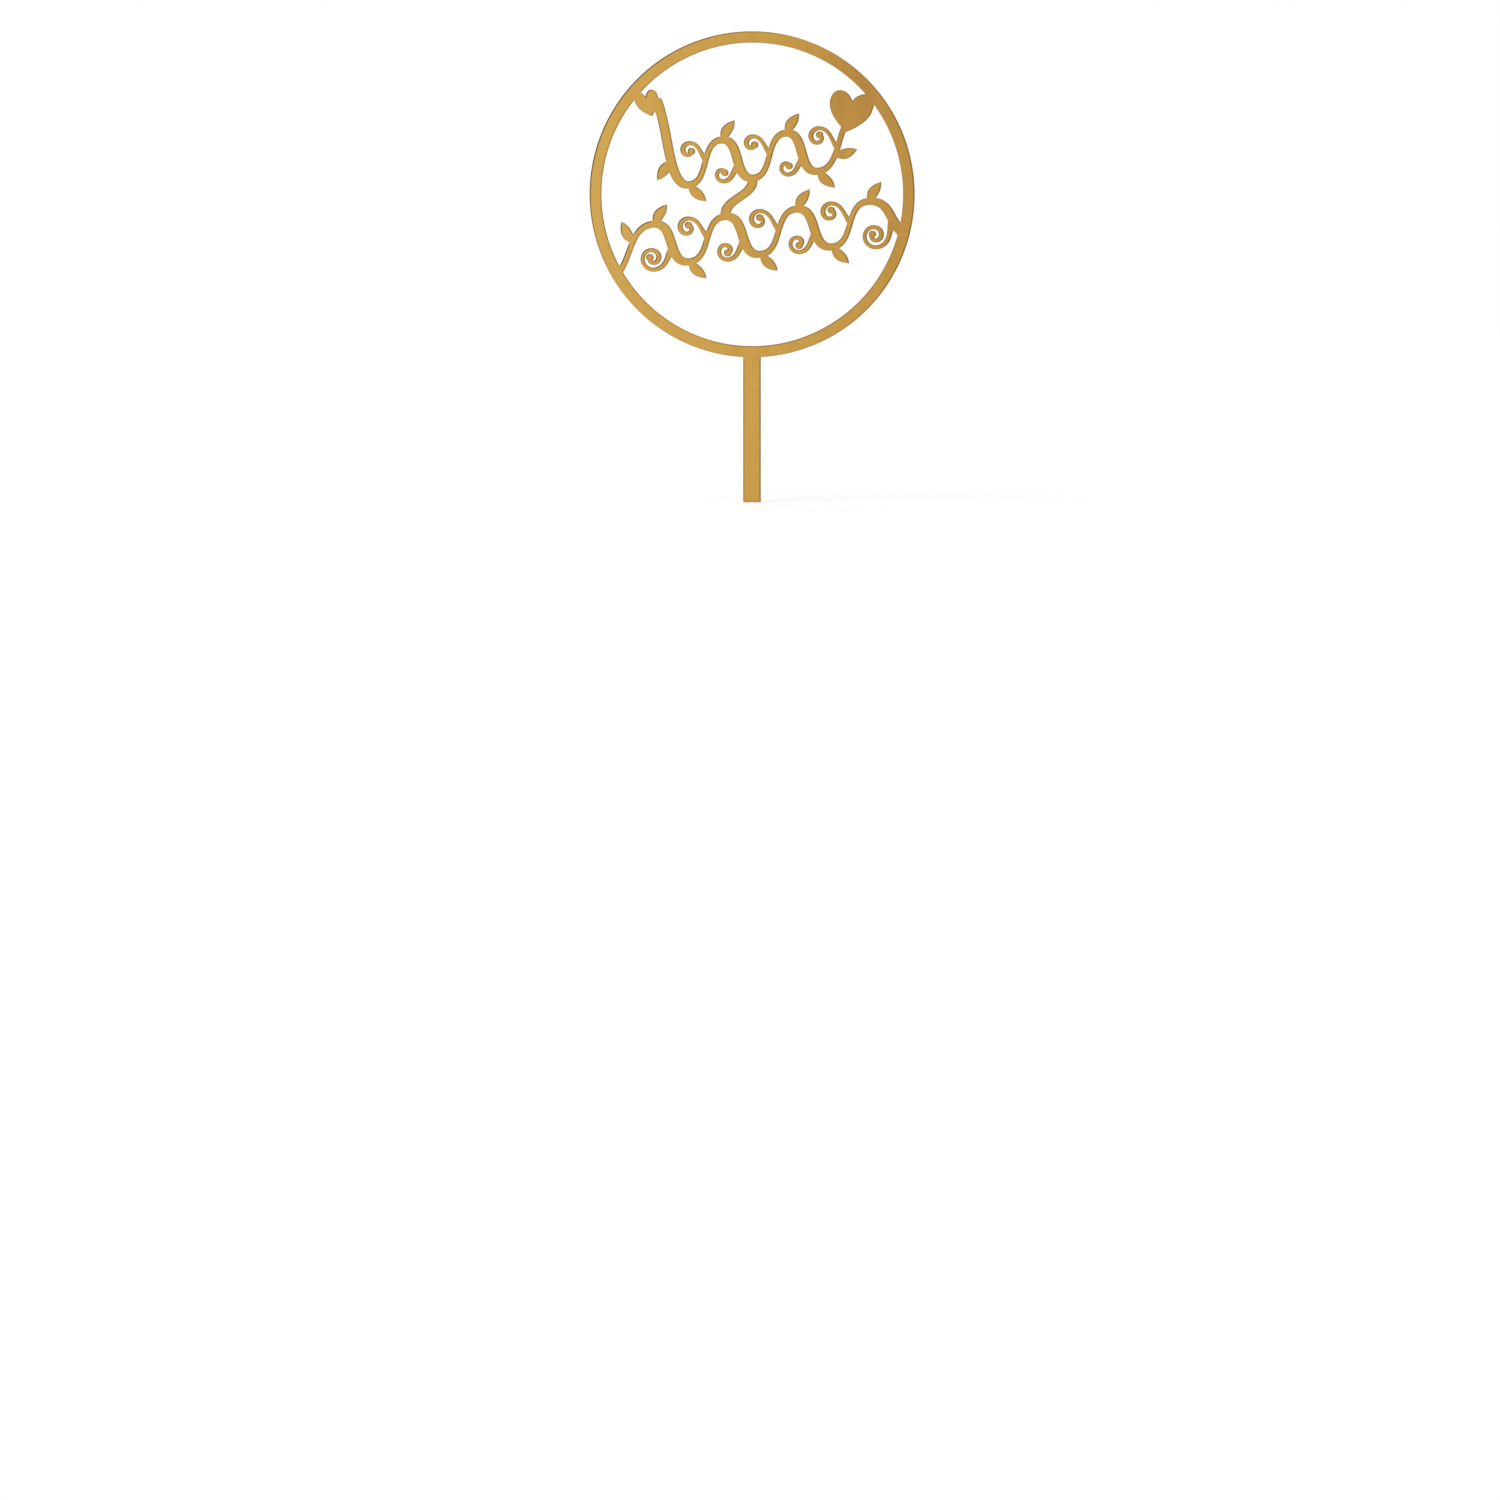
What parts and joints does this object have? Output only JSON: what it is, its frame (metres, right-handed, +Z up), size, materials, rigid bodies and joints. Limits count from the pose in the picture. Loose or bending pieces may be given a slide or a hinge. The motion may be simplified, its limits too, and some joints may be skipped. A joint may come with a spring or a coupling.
{
  "type": "cake topper",
  "caption": "Flat gold cake topper: a ring on a square-ended stake, with hearts let into its top and slanted lines of vine scroll across it.",
  "frame": {"origin": "middle of the stake's square bottom end", "axes": "+Z up along the stake to the top of the ring, -Y out of the front of the sheet, +X to the right seen from the front"},
  "size_m": [0.11, 0.003, 0.159],
  "materials": {
    "gold_acrylic": "satin gold mirror acrylic sheet with brown laser-cut edges"
  },
  "bodies": {
    "root": {"ring": "gold_acrylic", "stake": "gold_acrylic", "left_heart": "gold_acrylic", "right_heart": "gold_acrylic", "upper_stem": "gold_acrylic", "upper_curl_1": "gold_acrylic", "upper_curl_2": "gold_acrylic", "upper_curl_3": "gold_acrylic", "upper_curl_4": "gold_acrylic", "upper_curl_5": "gold_acrylic", "upper_leaf_1": "gold_acrylic", "upper_leaf_2": "gold_acrylic", "upper_leaf_3": "gold_acrylic", "upper_leaf_4": "gold_acrylic", "upper_leaf_5": "gold_acrylic", "upper_leaf_6": "gold_acrylic", "lower_stem": "gold_acrylic", "lower_curl_1": "gold_acrylic", "lower_curl_2": "gold_acrylic", "lower_curl_3": "gold_acrylic", "lower_curl_4": "gold_acrylic", "lower_curl_5": "gold_acrylic", "lower_curl_6": "gold_acrylic", "lower_curl_7": "gold_acrylic", "lower_leaf_1": "gold_acrylic", "lower_leaf_2": "gold_acrylic", "lower_leaf_3": "gold_acrylic", "lower_leaf_4": "gold_acrylic", "lower_leaf_5": "gold_acrylic", "lower_leaf_6": "gold_acrylic", "lower_leaf_7": "gold_acrylic", "link_stem": "gold_acrylic"}
  },
  "joints": []
}
